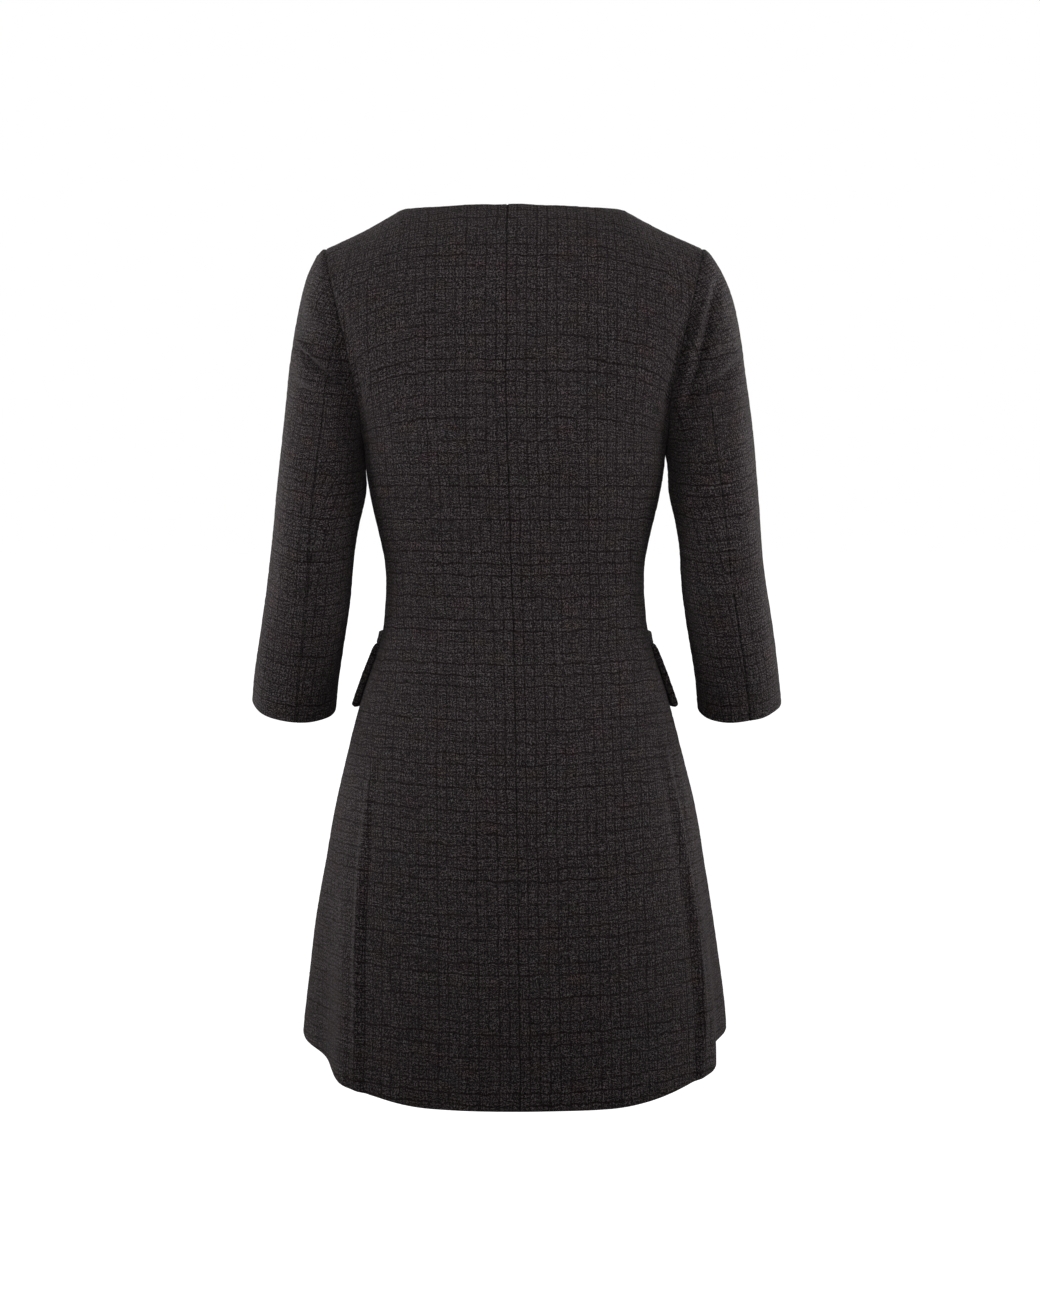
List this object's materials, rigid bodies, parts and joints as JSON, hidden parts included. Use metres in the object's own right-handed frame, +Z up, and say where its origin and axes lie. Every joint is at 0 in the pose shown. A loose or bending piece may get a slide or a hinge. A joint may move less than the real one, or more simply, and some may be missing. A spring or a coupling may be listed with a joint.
{
  "type": "blazer dress",
  "caption": "Collarless tweed blazer dress, filled out and hollow, with an A-line skirt, three-quarter sleeves, front buttons and flapped side pockets.",
  "frame": {"origin": "on the centre line at shoulder height, above the shoulder seams' fore-and-aft place, where the wearer holds the dress up", "axes": "+Z up, the front faces -Y, +X is the wearer's left"},
  "size_m": [0.541, 0.3392, 0.8424],
  "materials": {
    "tweed": "dark charcoal wool tweed, bouclé weave with a warm tint and pale flecks",
    "button": "near-black polished plastic, four holes"
  },
  "bodies": {
    "root": {"back_bodice_left": "tweed", "back_bodice_right": "tweed", "back_skirt_left": "tweed", "back_skirt_right": "tweed", "front_bodice_left": "tweed", "front_bodice_right": "tweed", "front_skirt_left": "tweed", "front_skirt_right": "tweed", "upper_sleeve_left": "tweed", "upper_sleeve_right": "tweed", "under_sleeve_left": "tweed", "under_sleeve_right": "tweed", "pocket_welt_left": "tweed", "pocket_welt_right": "tweed", "pocket_flap_left": "tweed", "pocket_flap_right": "tweed", "button_1": "button", "button_2": "button", "button_3": "button", "button_4": "button", "button_5": "button", "button_6": "button"}
  },
  "joints": []
}
